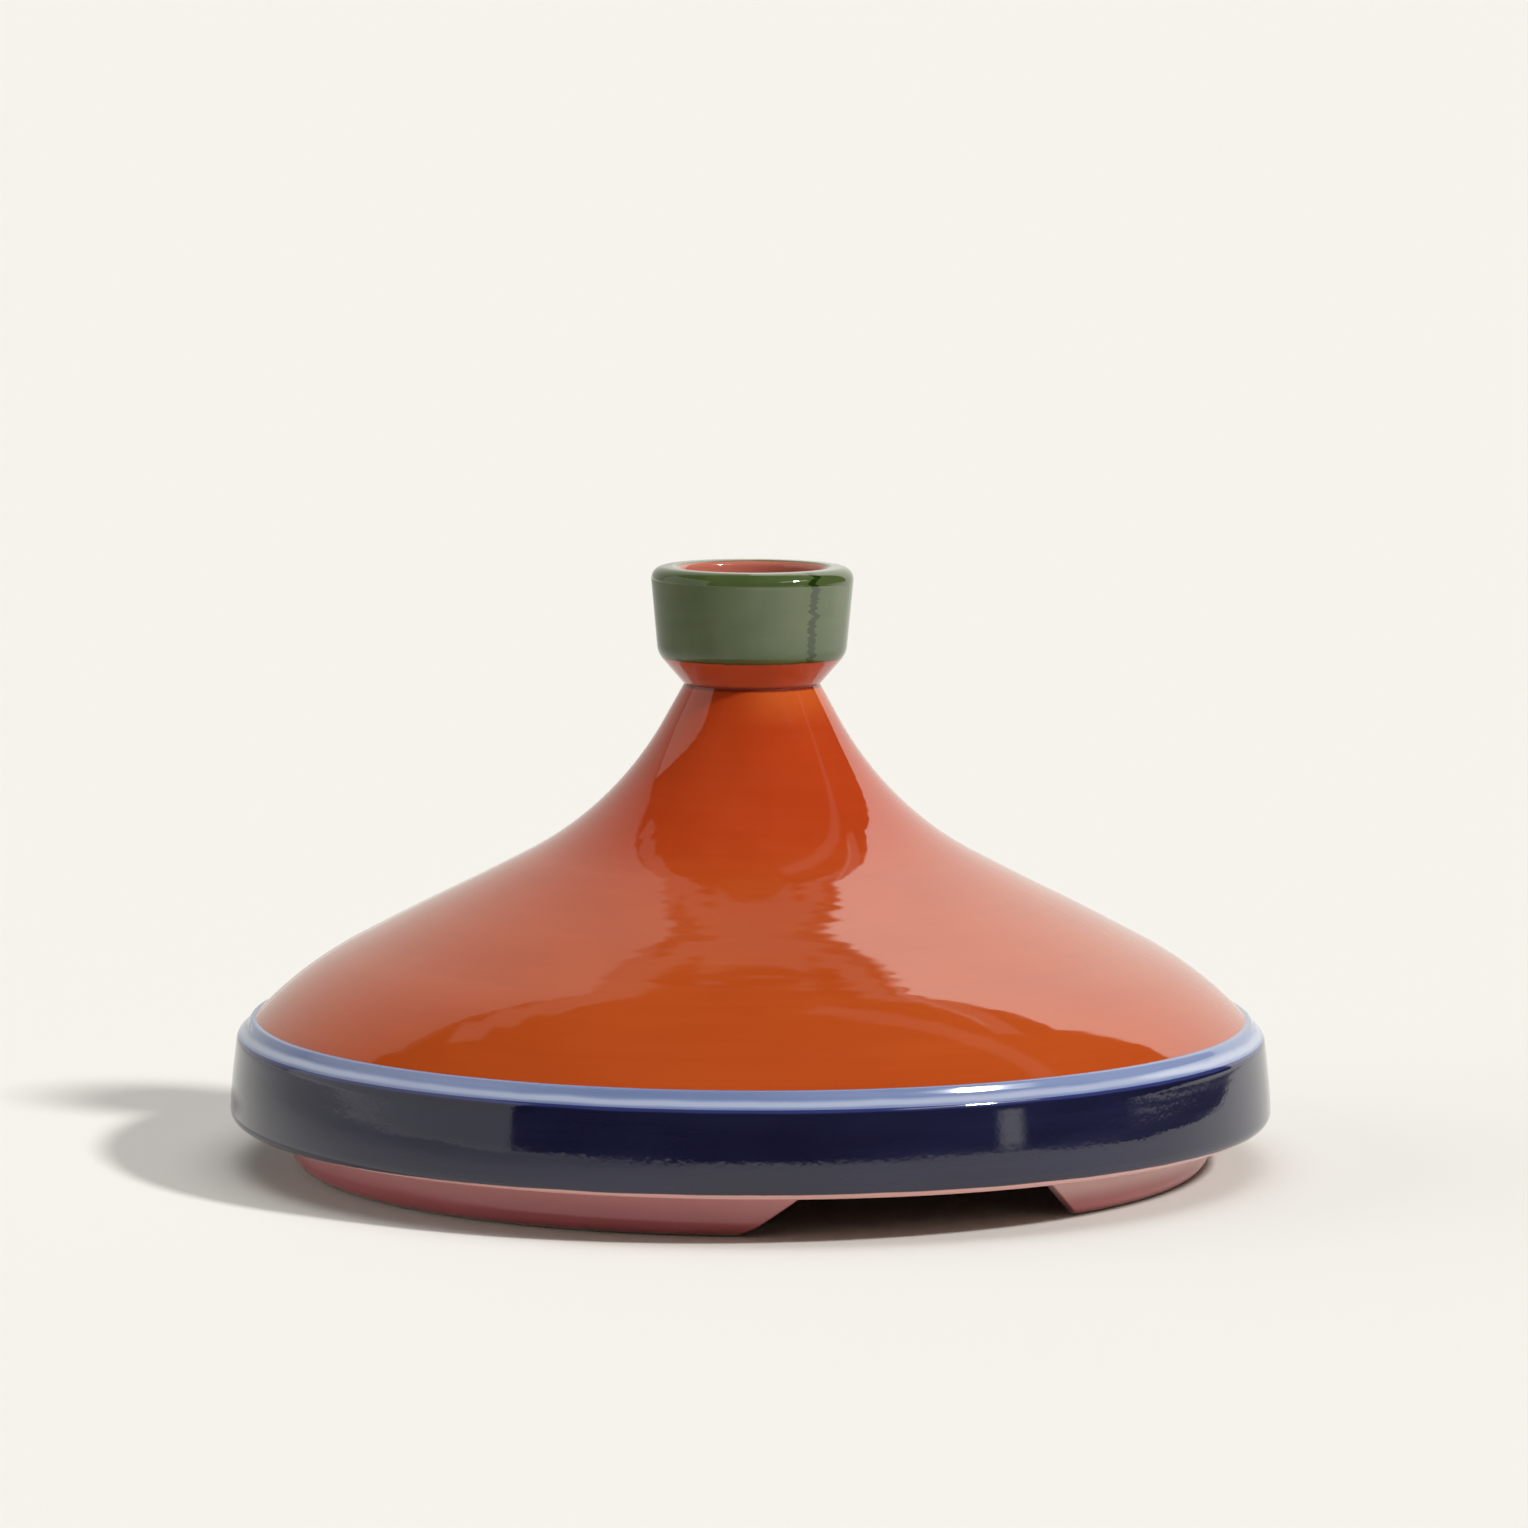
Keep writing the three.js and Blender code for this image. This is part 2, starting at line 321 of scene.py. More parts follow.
def makeFloor():
    bm = bmesh.new()
    bmesh.ops.create_grid(bm, x_segments=1, y_segments=1, size=ground["size"])
    mesh = bpy.data.meshes.new("floor")
    bm.to_mesh(mesh)
    bm.free()
    material = bpy.data.materials.new("paperFloor")
    material.use_nodes = True
    tree = material.node_tree
    tree.nodes.clear()
    path = addNode(tree, "ShaderNodeLightPath").outputs
    spot = addNode(tree, "ShaderNodeTexCoord").outputs["Object"]
    far = ramp(tree, vectorCalc(tree, "LENGTH", spot), *ground["evenSpan"])
    # painted shade: the paper is darker on the left, for all but camera rays
    paintedShade = ramp(tree, towards(tree, spot, -90), *ground["paintedShadeSpan"], 1.0, ground["paintedShade"])
    paintedShade = calc(tree, "MAXIMUM", far, paintedShade)
    # rays that come in steeply are those of the knob, low ones those of the rim
    # a blend of 0.5 leaves the angle as it is
    steep = addNode(tree, "ShaderNodeLayerWeight", {"Blend": 0.5}).outputs["Facing"]
    steep = ramp(tree, steep, *ground["steep"], 1.0, 0.0)
    steep = calc(tree, "MAXIMUM", steep, path["Is Diffuse Ray"])
    # painted reflection: a dark patch on the paper to the right, seen only by low glossy rays
    ahead = calc(tree, "SUBTRACT", towards(tree, spot, 0), ground["darkReflectionCorner"])
    ahead = calc(tree, "MAXIMUM", ahead, 0)
    aside = calc(tree, "MULTIPLY_ADD", ahead, -ground["darkReflectionSkew"], towards(tree, spot, 90))
    paintedDarkReflection = ramp(tree, aside, *ground["darkReflectionEdge"])
    behind = ramp(tree, towards(tree, spot, 180), *ground["darkReflectionBack"], 1.0, 0.0)
    paintedDarkReflection = product(tree, paintedDarkReflection, behind, remainder(tree, steep))
    paintedShade = product(tree, paintedShade, calc(tree, "MULTIPLY_ADD", paintedDarkReflection, ground["paintedRoomDark"] - 1, 1))
    paintedShade = calc(tree, "MAXIMUM", paintedShade, path["Is Camera Ray"])
    # painted pool of light: the paper glows towards the lamp, for bounced light and steep reflections only
    paintedGlow = ramp(tree, towards(tree, spot, studio["keyAzimuth"]), *ground["paintedGlowSpan"], 0.0, ground["paintedGlow"])
    paintedGlow = product(tree, paintedGlow, remainder(tree, far), steep, remainder(tree, path["Is Camera Ray"]))
    paper = blendColour(tree, paintedShade, (0, 0, 0, 1), studio["paper"])
    matt = addNode(tree, "ShaderNodeBsdfDiffuse", {"Color": paper})
    shine = addNode(tree, "ShaderNodeEmission", {"Color": studio["paper"], "Strength": paintedGlow})
    both = addNode(tree, "ShaderNodeAddShader")
    tree.links.new(matt.outputs[0], both.inputs[0])
    tree.links.new(shine.outputs[0], both.inputs[1])
    addNode(tree, "ShaderNodeOutputMaterial", {"Surface": both.outputs[0]})
    mesh.materials.append(material)
    floor = bpy.data.objects.new("floor", mesh)
    scene.collection.objects.link(floor)


makeStudio()
makeFloor()
scene.view_settings.view_transform = "Standard"
print("studio and floor set")


# shared glaze effects, all worked from object coordinates in millimetres
lineNoise = {"turns": 9, "detail": 3.0}  # how a glaze line wavers around the pot
streaks = {
    "broad": dict(Sway=2.5, Detail=2.0, Shift=3.0),
    "fine": dict(Sway=1.6, Detail=3.0, Shift=7.0),
    "broadSize": 6,  # times a fine streak
    "fineShare": 0.35,
    "toneSpan": (0.35, 0.65),
    "glossSpan": (0.3, 0.7),
}
glazeIor = 1.6
bounce = {"greying": 0.6, "grey": (0.22, 0.2, 0.18, 1)}
cobalt = (0.035, 0.042, 0.16, 1)
salmon = (0.64, 0.19, 0.13, 1)


def placeGroup():
    # radius and height of a point, its bearing as a unit vector, and its run along the thrown wall
    outputs = floats("Radius", "Height", "Run") + [("Bearing", "Vector")]
    group, given, result = newGroup("potPlace", [("Coords", "Vector")], outputs)
    scaled = vectorCalc(group, "SCALE", given["Coords"], scale=1 / mm)
    flat = vectorCalc(group, "MULTIPLY", scaled, (1, 1, 0))
    radius = vectorCalc(group, "LENGTH", flat)
    height = addNode(group, "ShaderNodeSeparateXYZ", {"Vector": scaled}).outputs["Z"]
    group.links.new(radius, result["Radius"])
    group.links.new(height, result["Height"])
    group.links.new(calc(group, "SUBTRACT", height, radius), result["Run"])
    group.links.new(vectorCalc(group, "NORMALIZE", flat), result["Bearing"])
    return group


def ringGroup(place):
    # noise drawn out around the pot: Spacing in millimetres along the wall, Sway as change around it
    inputs = [("Coords", "Vector")] + floats("Spacing", "Sway", "Detail", "Shift")
    group, given, result = newGroup("throwingRings", inputs, floats("Rings"))
    spot = useGroup(group, place, Coords=given["Coords"])
    swung = vectorCalc(group, "SCALE", spot["Bearing"], scale=given["Sway"])
    run = calc(group, "DIVIDE", spot["Run"], given["Spacing"])
    risen = addNode(group, "ShaderNodeCombineXYZ", {"Z": calc(group, "ADD", run, given["Shift"])})
    drawn = vectorCalc(group, "ADD", swung, risen.outputs[0])
    group.links.new(noiseOf(group, drawn, given["Detail"]), result["Rings"])
    return group


def skinGroup(rings):
    # relief of the glaze in millimetres: ridges left by the fingers, and the fine peel of the melt
    inputs = [("Coords", "Vector")] + floats("Spacing", "Sway", "Ridge", "Size", "Peel")
    group, given, result = newGroup("glazeSkin", inputs, floats("Relief"))
    ridges = useGroup(
        group, rings, Coords=given["Coords"], Spacing=given["Spacing"], Sway=given["Sway"],
        Detail=0.0, Shift=0.0,
    )
    peel = noiseOf(group, given["Coords"], 1.0, calc(group, "DIVIDE", 1 / mm, given["Size"]))
    relief = product(group, ridges["Rings"], given["Ridge"])
    group.links.new(calc(group, "MULTIPLY_ADD", peel, given["Peel"], relief), result["Relief"])
    return group


def lineGroup(place):
    # where one glaze ends and the next begins
    # Above fills the upper side of a wavering level, Line the join itself
    inputs = [("Coords", "Vector")] + floats("Level", "Width", "Waver", "Edge")
    group, given, result = newGroup("glazeLine", inputs, floats("Above", "Line"))
    spot = useGroup(group, place, Coords=given["Coords"])
    swung = vectorCalc(group, "SCALE", spot["Bearing"], scale=lineNoise["turns"])
    sway = swayOf(group, swung, lineNoise["detail"], given["Waver"])
    over = calc(group, "SUBTRACT", calc(group, "SUBTRACT", spot["Height"], given["Level"]), sway)
    less = calc(group, "MULTIPLY", given["Edge"], -1)
    group.links.new(ramp(group, over, less, given["Edge"]), result["Above"])
    outer = calc(group, "ADD", given["Width"], given["Edge"])
    line = ramp(group, calc(group, "ABSOLUTE", over), given["Width"], outer, 1.0, 0.0)
    group.links.new(line, result["Line"])
    return group


potPlace = placeGroup()
throwingRings = ringGroup(potPlace)
glazeSkin = skinGroup(throwingRings)
glazeLine = lineGroup(potPlace)


def startGlaze(name):
    material = bpy.data.materials.new(name)
    material.use_nodes = True
    tree = material.node_tree
    tree.nodes.clear()
    coords = addNode(tree, "ShaderNodeTexCoord").outputs["Object"]
    return material, tree, coords


def glazeBody(tree, coords, finish):
    # brushed colour and uneven gloss that every glaze shares
    size = finish["streak"]
    broadSize = size * streaks["broadSize"]
    broad = useGroup(tree, throwingRings, Coords=coords, Spacing=broadSize, **streaks["broad"])["Rings"]
    fine = useGroup(tree, throwingRings, Coords=coords, Spacing=size, **streaks["fine"])["Rings"]
    share = streaks["fineShare"]
    tone = calc(tree, "MULTIPLY_ADD", fine, share, product(tree, broad, 1 - share))
    colour = blendColour(tree, ramp(tree, tone, *streaks["toneSpan"]), finish["deep"], finish["light"])
    gloss = ramp(tree, fine, *streaks["glossSpan"], *finish["gloss"])
    return colour, gloss


def glazeJoin(tree, coords, level, line):
    width, waver, edge = line
    return useGroup(tree, glazeLine, Coords=coords, Level=level, Width=width, Waver=waver, Edge=edge)


def finishGlaze(tree, coords, finish, colour, roughness):
    # bounced light is greyed, so that the paper stays clean around the foot
    bounced = addNode(tree, "ShaderNodeLightPath").outputs["Is Diffuse Ray"]
    colour = blendColour(tree, product(tree, bounced, bounce["greying"]), colour, bounce["grey"])
    skin = useGroup(
        tree, glazeSkin, Coords=coords, Spacing=finish["ring"], Sway=finish["sway"], Ridge=finish["ridge"],
        Size=finish["grain"], Peel=finish["peel"],
    )
    bump = addNode(tree, "ShaderNodeBump", {"Height": skin["Relief"], "Distance": mm, "Strength": 1.0})
    shader = addNode(tree, "ShaderNodeBsdfPrincipled", {
        "IOR": glazeIor, "Base Color": colour, "Roughness": roughness, "Normal": bump.outputs[0],
    })
    addNode(tree, "ShaderNodeOutputMaterial", {"Surface": shader.outputs[0]})


# finishes: levels and sizes in millimetres, a line is its width, waver and soft edge

# orange of the cone and collar, with painted light on the lamp side of the neck, a dark crease line of
# painted shade and pooled glaze, and dirtied by the green
orangeFinish = dict(
    deep=(0.455, 0.049, 0.009, 1), light=(0.482, 0.055, 0.011, 1),
    thick=(0.465, 0.069, 0.011, 1), thin=(0.495, 0.078, 0.013, 1), pooled=(70, 102),
    # neck: painted light, a lighter orange just under the crease on the lamp side
    neck=(0.60, 0.105, 0.02, 1), neckLightRun=(11, 1), neckLightBearing=60, neckLightSpan=(0.2, 0.8),
    # crease: dark partly as painted shade in the crease and partly as glaze pooled there
    creaseShadeAndPool=(0.2, 0.024, 0.01, 1), creaseShadeAndPoolLine=(0.3, 0.4, 0.7),
    join=(0.06, 0.045, 0.01, 1), joinLine=(0.15, 0.5, 0.3),
    streak=5, ring=4.2, sway=6.0, ridge=0.020, grain=2.2, peel=0.002, gloss=(0.03, 0.06),
)


def orangeGlaze():
    material, tree, coords = startGlaze("orangeGlaze")
    colour, gloss = glazeBody(tree, coords, orangeFinish)
    lowerFinish = dict(orangeFinish, deep=orangeFinish["thick"], light=orangeFinish["thin"])
    lower, _ = glazeBody(tree, coords, lowerFinish)
    spot = useGroup(tree, potPlace, Coords=coords)
    colour = blendColour(tree, ramp(tree, spot["Height"], *orangeFinish["pooled"]), lower, colour)
    # painted light: lighter just under the crease, towards the lamp
    runFrom, runTo = orangeFinish["neckLightRun"]
    neck = ramp(tree, spot["Height"], neckZ - runFrom, neckZ - runTo)
    lampward = towards(tree, spot["Bearing"], orangeFinish["neckLightBearing"])
    lampward = ramp(tree, lampward, *orangeFinish["neckLightSpan"])
    neck = product(tree, neck, calc(tree, "LESS_THAN", spot["Height"], neckZ), lampward)
    colour = blendColour(tree, neck, colour, orangeFinish["neck"])
    # painted shade in the crease, partly pooled glaze
    creaseShadeAndPool = glazeJoin(tree, coords, neckZ, orangeFinish["creaseShadeAndPoolLine"])["Line"]
    colour = blendColour(tree, creaseShadeAndPool, colour, orangeFinish["creaseShadeAndPool"])
    join = glazeJoin(tree, coords, collarTopZ, orangeFinish["joinLine"])["Line"]
    colour = blendColour(tree, join, colour, orangeFinish["join"])
    finishGlaze(tree, coords, orangeFinish, colour, gloss)
    return material


# green of the cup, with the salmon of the well inside the lip and one thick run down the side
greenFinish = dict(
    deep=(0.06, 0.09, 0.026, 1), light=(0.082, 0.115, 0.038, 1),
    join=(0.05, 0.055, 0.012, 1), joinLine=(0.15, 0.5, 0.3),
    run=(0.014, 0.034, 0.003, 1), runBearing=38, runWidth=1.0, runSoft=0.5,
    runWaver=9, runBend=0.55, runDetail=4.0,
    wellEdge=20.6, wellSoft=0.3,
    streak=4, ring=3.0, sway=3.0, ridge=0.012, grain=2.0, peel=0.002, gloss=(0.04, 0.07),
)


def greenGlaze():
    material, tree, coords = startGlaze("greenGlaze")
    colour, gloss = glazeBody(tree, coords, greenFinish)
    spot = useGroup(tree, potPlace, Coords=coords)
    beside = towards(tree, spot["Bearing"], greenFinish["runBearing"] + 90)
    facing = towards(tree, spot["Bearing"], greenFinish["runBearing"])
    fall = product(tree, spot["Height"], greenFinish["runBend"])
    fall = addNode(tree, "ShaderNodeCombineXYZ", {"Z": fall}).outputs[0]
    wander = swayOf(tree, fall, greenFinish["runDetail"], greenFinish["runWaver"])
    aside = calc(tree, "ABSOLUTE", calc(tree, "MULTIPLY_ADD", beside, spot["Radius"], wander))
    width = greenFinish["runWidth"]
    run = ramp(tree, aside, width, width + greenFinish["runSoft"], 1.0, 0.0)
    run = product(tree, run, calc(tree, "GREATER_THAN", facing, 0))
    colour = blendColour(tree, run, colour, greenFinish["run"])
    join = glazeJoin(tree, coords, collarTopZ, greenFinish["joinLine"])["Line"]
    colour = blendColour(tree, join, colour, greenFinish["join"])
    edge, soft = greenFinish["wellEdge"], greenFinish["wellSoft"]
    well = ramp(tree, spot["Radius"], edge - soft, edge + soft, 1.0, 0.0)
    colour = blendColour(tree, well, colour, salmon)
    finishGlaze(tree, coords, greenFinish, colour, gloss)
    return material


# light blue of the shoulder, paler in a band over the edge where the glaze thins, with a painted highlight
# in that band, and with cobalt along its foot
blueFinish = dict(
    deep=(0.18, 0.235, 0.42, 1), light=(0.235, 0.29, 0.48, 1),
    # thin: the pale band, partly thinner glaze and partly a painted highlight
    thin=(0.41, 0.455, 0.60, 1),
    paleBandFrom=36.5, fromLine=(0.2, 0.5, 0.4), paleBandTo=37.8, toLine=(0.2, 0.8, 0.5),
    cobaltTop=35.8, cobaltLine=(0.2, 0.4, 0.25),
    streak=2, ring=2.0, sway=2.5, ridge=0.008, grain=1.6, peel=0.002, gloss=(0.08, 0.14),
)


def blueGlaze():
    material, tree, coords = startGlaze("blueGlaze")
    colour, gloss = glazeBody(tree, coords, blueFinish)
    upper = glazeJoin(tree, coords, blueFinish["paleBandTo"], blueFinish["toLine"])["Above"]
    lower = glazeJoin(tree, coords, blueFinish["paleBandFrom"], blueFinish["fromLine"])["Above"]
    # pale band between the two levels: thinner glaze and a painted highlight
    colour = blendColour(tree, calc(tree, "SUBTRACT", lower, upper), colour, blueFinish["thin"])
    edge = glazeJoin(tree, coords, blueFinish["cobaltTop"], blueFinish["cobaltLine"])["Above"]
    colour = blendColour(tree, edge, cobalt, colour)
    finishGlaze(tree, coords, blueFinish, colour, gloss)
    return material


# navy of the band, cobalt along its top, and the pink of the flange drawn up over its lower edge and
# inside, paler than the flange's pink, partly a lighter glaze and partly painted light from the lit floor
# below
navyFinish = dict(
    deep=(0.0085, 0.0085, 0.028, 1), light=(0.0135, 0.014, 0.044, 1),
    cobaltFoot=35.1, cobaltLine=(0.2, 0.5, 0.3),
    # pink: paler than the flange's, partly a lighter glaze and partly painted light from the lit floor
    # below
    pink=(0.70, 0.36, 0.32, 1), pinkTop=12.6, pinkRise=1.6, pinkBearing=15, pinkLine=(0.2, 0.5, 0.2),
    insideEdge=(124, 125),
    streak=4, ring=2.5, sway=8.0, ridge=0.014, grain=1.5, peel=0.010, gloss=(0.04, 0.08),
)


def navyGlaze():
    material, tree, coords = startGlaze("navyGlaze")
    colour, gloss = glazeBody(tree, coords, navyFinish)
    edge = glazeJoin(tree, coords, navyFinish["cobaltFoot"], navyFinish["cobaltLine"])["Above"]
    colour = blendColour(tree, edge, colour, cobalt)
    spot = useGroup(tree, potPlace, Coords=coords)
    fuller = towards(tree, spot["Bearing"], navyFinish["pinkBearing"])
    pinkTop = calc(tree, "MULTIPLY_ADD", fuller, navyFinish["pinkRise"], navyFinish["pinkTop"])
    hem = glazeJoin(tree, coords, pinkTop, navyFinish["pinkLine"])["Above"]
    # pink hem, with painted light from the lit floor below
    colour = blendColour(tree, hem, navyFinish["pink"], colour)
    inside = ramp(tree, spot["Radius"], *navyFinish["insideEdge"], 1.0, 0.0)
    colour = blendColour(tree, inside, colour, navyFinish["pink"])
    finishGlaze(tree, coords, navyFinish, colour, gloss)
    return material


# pink of the flange and the inside, lighter towards the top and, as painted light, paler towards the lamp,
# wiped off the foot so that the clay shows
pinkFinish = dict(
    deep=(0.52, 0.125, 0.138, 1), light=(0.57, 0.15, 0.16, 1),
    # thin: the colour the pink turns to towards the top
    thin=(0.70, 0.22, 0.21, 1), lighterUpSpan=(4, 13),
    # pale: painted light, the pink paler above the foot on the lamp side
    pale=(0.80, 0.46, 0.43, 1), lampLitSpan=(2, 9), lampLitBearing=75, lampLitTurn=(0.1, 0.9),
    clay=(0.62, 0.55, 0.42, 1), clayTop=0.7, clayLine=(0.2, 0.4, 0.2), clayRough=0.4,
    streak=5, ring=3.0, sway=3.0, ridge=0.012, grain=2.0, peel=0.003, gloss=(0.14, 0.22),
)


def pinkGlaze():
    material, tree, coords = startGlaze("pinkGlaze")
    colour, gloss = glazeBody(tree, coords, pinkFinish)
    spot = useGroup(tree, potPlace, Coords=coords)
    # lighter towards the top
    thin = ramp(tree, spot["Height"], *pinkFinish["lighterUpSpan"])
    colour = blendColour(tree, thin, colour, pinkFinish["thin"])
    # painted light: paler towards the lamp, above the foot
    lampward = towards(tree, spot["Bearing"], pinkFinish["lampLitBearing"])
    lampward = ramp(tree, lampward, *pinkFinish["lampLitTurn"])
    pale = product(tree, ramp(tree, spot["Height"], *pinkFinish["lampLitSpan"]), lampward)
    colour = blendColour(tree, pale, colour, pinkFinish["pale"])
    glazed = glazeJoin(tree, coords, pinkFinish["clayTop"], pinkFinish["clayLine"])["Above"]
    colour = blendColour(tree, glazed, pinkFinish["clay"], colour)
    gloss = calc(tree, "MULTIPLY_ADD", remainder(tree, glazed), pinkFinish["clayRough"], gloss)
    finishGlaze(tree, coords, pinkFinish, colour, gloss)
    return material


# salmon on the floor of the knob's well
salmonFinish = dict(
    deep=(0.60, 0.175, 0.12, 1), light=(0.67, 0.205, 0.14, 1),
    streak=3, ring=2.5, sway=2.0, ridge=0.012, grain=2.0, peel=0.003, gloss=(0.06, 0.1),
)


def salmonGlaze():
    material, tree, coords = startGlaze("salmonGlaze")
    colour, gloss = glazeBody(tree, coords, salmonFinish)
    finishGlaze(tree, coords, salmonFinish, colour, gloss)
    return material


glazes = {
    "orange": orangeGlaze(),
    "green": greenGlaze(),
    "blue": blueGlaze(),
    "navy": navyGlaze(),
    "pink": pinkGlaze(),
    "salmon": salmonGlaze(),
}
print("glazes mixed:", ", ".join(glazes))


# turning: a profile is walked corner by corner, with an arc spun in at each rounded one
turning = {
    "steps": 288,
    "grain": 1.2,  # longest edge along a profile, and along an arc, in millimetres
    "arcGrain": 0.7,
    "arcSteps": 6,  # fewest in an arc
    "weld": 0.001,  # millimetres
    "sharp": 30,  # degrees
}


def profileLine(bm, corners, closed=True):
    spots = [Vector((radius, 0, height)) * mm for radius, height, *_ in corners]
    roundings = [corner[2] * mm if len(corner) > 2 else 0 for corner in corners]
    count = len(spots)
    first = last = None
    for i, spot in enumerate(spots):
        arc = None
        start = spot
        if roundings[i] and (closed or 0 < i < count - 1):
            back = (spots[i - 1] - spot).normalized()
            ahead = (spots[(i + 1) % count] - spot).normalized()
            halfAngle = back.angle(ahead) / 2
            start = spot + back * (roundings[i] / math.tan(halfAngle))
            middle = spot + (back + ahead).normalized() * (roundings[i] / math.sin(halfAngle))
            sweep = math.pi - 2 * halfAngle
            side = -1 if back.cross(ahead).y > 0 else 1
            steps = math.ceil(roundings[i] * sweep / (turning["arcGrain"] * mm))
            arc = dict(cent=middle, angle=side * sweep, steps=max(turning["arcSteps"], steps))
        vert = bm.verts.new(start)
        if last:
            bm.edges.new((last, vert))
        first = first or vert
        last = vert
        if arc:
            spun = bmesh.ops.spin(bm, geom=[vert], axis=(0, 1, 0), **arc)
            last = next(item for item in spun["geom_last"] if isinstance(item, bmesh.types.BMVert))
    if closed:
        bm.edges.new((last, first))


def cutLong(bm):
    for edge in list(bm.edges):
        cuts = math.ceil(edge.calc_length() / (turning["grain"] * mm)) - 1
        if cuts > 0:
            bmesh.ops.subdivide_edges(bm, edges=[edge], cuts=cuts)


def trim(bm, level, keepBelow):
    # cut a profile at a level in millimetres
    bmesh.ops.bisect_plane(
        bm, geom=list(bm.verts) + list(bm.edges), plane_co=(0, 0, level * mm), plane_no=(0, 0, 1),
        dist=turning["weld"] * mm, clear_outer=keepBelow, clear_inner=not keepBelow,
    )


def looseEnds(bm):
    # the two ends of an open profile, the lower first, or the wider where they are level to a micrometre
    ends = [vert for vert in bm.verts if len(vert.link_edges) == 1]
    return sorted(ends, key=lambda vert: (round(vert.co.z, 6), -vert.co.x))


def joinEnds(bm, start, corners, end):
    last = start
    for radius, height in corners:
        vert = bm.verts.new((radius * mm, 0, height * mm))
        bm.edges.new((last, vert))
        last = vert
    bm.edges.new((last, end))


def sweepRound(bm, parts):
    # spin a profile through one of so many equal parts of the round
    bmesh.ops.spin(
        bm, geom=list(bm.verts) + list(bm.edges), cent=(0, 0, 0), axis=(0, 0, 1),
        angle=2 * math.pi / parts, steps=turning["steps"] // parts,
    )


def turnRound(bm):
    # a quarter turn, then mirrored twice to make the whole round
    weld = turning["weld"] * mm
    cutLong(bm)
    sweepRound(bm, 4)
    for axis in ("X", "Y"):
        every = list(bm.verts) + list(bm.edges) + list(bm.faces)
        bmesh.ops.mirror(bm, geom=every, axis=axis, merge_dist=weld)
    bmesh.ops.remove_doubles(bm, verts=list(bm.verts), dist=weld)
    bmesh.ops.recalc_face_normals(bm, faces=list(bm.faces))


def finishPiece(bm, name, nodes, materials, pick=None):
    sharp = math.radians(turning["sharp"])
    for face in bm.faces:
        face.smooth = True
        face.material_index = pick(face) if pick else 0
    for edge in bm.edges:
        edge.smooth = len(edge.link_faces) != 2 or edge.calc_face_angle() < sharp
    mesh = bpy.data.meshes.new(name)
    bm.to_mesh(mesh)
    bm.free()
    for key in materials:
        mesh.materials.append(glazes[key])
    piece = bpy.data.objects.new(name, mesh)
    scene.collection.objects.link(piece)
    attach(piece, "root")
    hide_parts(*nodes)
    print("made", name, len(mesh.polygons), "faces")


# flange: a ring with a rounded foot, opened by a notch at the front and at the back
# half is from the middle of a notch to the arc's end, at its top, and lean the end's angle from upright
flange = {
    "wall": 7, "footRound": 4.5, "boreRound": 1.0, "edgeRound": 1.0, "edgeSteps": 4,
    "east": dict(half=33.7, lean=44.6, turn=0), "west": dict(half=32, lean=54, turn=180),
}


def makeFlangeArc(name, node, side):
    arc = flange[side]
    lean = math.tan(math.radians(arc["lean"]))
    bore = flangeRadius - flange["wall"]
    bm = bmesh.new()
    profileLine(bm, [
        (bore, 0, flange["boreRound"]),
        (flangeRadius, 0, flange["footRound"]),
        (flangeRadius, seatZ),
        (bore, seatZ),
    ])
    cutLong(bm)
    quarterBack = Matrix.Rotation(-math.pi / 2, 3, "Z")
    bmesh.ops.rotate(bm, verts=list(bm.verts), cent=(0, 0, 0), matrix=quarterBack)
    sweepRound(bm, 2)
    # slide the half ring's ends along the leaning sides of the notches
    for vert in bm.verts:
        radius = math.hypot(vert.co.x, vert.co.y)
        halfWidth = (arc["half"] + (seatZ - vert.co.z / mm) * lean) * mm
        bearing = math.atan2(vert.co.y, vert.co.x) * math.acos(halfWidth / radius) / (math.pi / 2)
        vert.co.x = radius * math.cos(bearing)
        vert.co.y = radius * math.sin(bearing)
    rims = [edge for edge in bm.edges if edge.is_boundary]
    bmesh.ops.holes_fill(bm, edges=rims, sides=0)
    bmesh.ops.recalc_face_normals(bm, faces=list(bm.faces))
    bmesh.ops.bevel(
        bm, geom=rims, offset=flange["edgeRound"] * mm, affect="EDGES", segments=flange["edgeSteps"],
        profile=0.5, material=-1, clamp_overlap=True,  # profile: round
    )
    around = Matrix.Rotation(math.radians(arc["turn"]), 3, "Z")
    bmesh.ops.rotate(bm, verts=list(bm.verts), cent=(0, 0, 0), matrix=around)
    bmesh.ops.recalc_face_normals(bm, faces=list(bm.faces))
    finishPiece(bm, name, [node], ["pink"])


makeFlangeArc("flangeArcEast", "flange_arc_east", "east")
makeFlangeArc("flangeArcWest", "flange_arc_west", "west")


# rim: one outline, cut where the navy band ends and the blue shoulder begins
rim = {
    "bore": 119, "radius": 143, "footRound": 2.9,
    "bellyRadius": 142.55, "bellyHeight": 22, "bellyRound": 130, "topRadius": 140.95, "edgeRound": 4.1,
    "dipRadius": 138.1, "dipHeight": 38.3, "dipRound": 1.5,
    "beadRadius": 137.1, "beadRound": 1.1, "coneFootRadius": 135.8, "lipRadius": 126, "clearance": 0.3,
}


def rimOutline():
    return [
        (rim["bore"], seatZ),
        (rim["radius"], seatZ, rim["footRound"]),
        (rim["bellyRadius"], rim["bellyHeight"], rim["bellyRound"]),
        (rim["topRadius"], bandTopZ, rim["edgeRound"]),
        (rim["dipRadius"], rim["dipHeight"], rim["dipRound"]),
        (rim["beadRadius"], coneFootZ, rim["beadRound"]),
        (rim["coneFootRadius"], coneFootZ),
    ]


